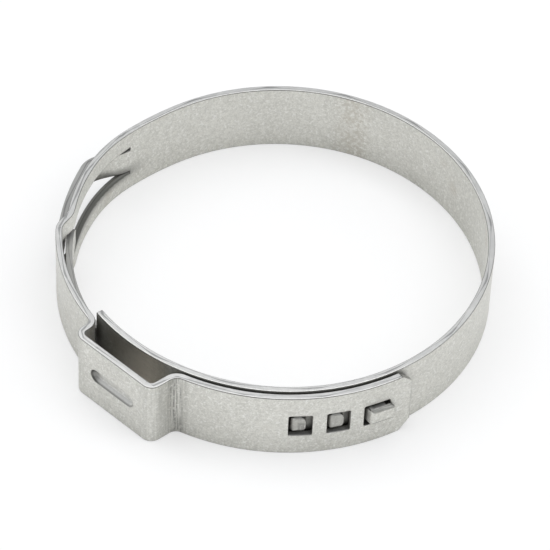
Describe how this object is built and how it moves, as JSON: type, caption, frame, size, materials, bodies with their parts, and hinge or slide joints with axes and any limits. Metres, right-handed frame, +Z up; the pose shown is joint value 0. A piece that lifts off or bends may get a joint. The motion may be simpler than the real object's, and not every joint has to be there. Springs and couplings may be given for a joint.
{
  "type": "ear hose clamp",
  "caption": "Open hose clamp rolled from punched stainless strip, with a folded crimping ear, hooks in windows and a tongue that slides in a channel.",
  "frame": {"origin": "on the bore axis, level with the lower edge of the strip that the clamp lies on", "axes": "+Z up along the bore axis, -Y towards the hooks and windows, -X towards the ear's side"},
  "size_m": [0.0388, 0.0381, 0.007],
  "materials": {
    "band": "tumbled stainless steel, satin, faintly mottled"
  },
  "bodies": {
    "root": {"clamp_band": "band"}
  },
  "joints": []
}
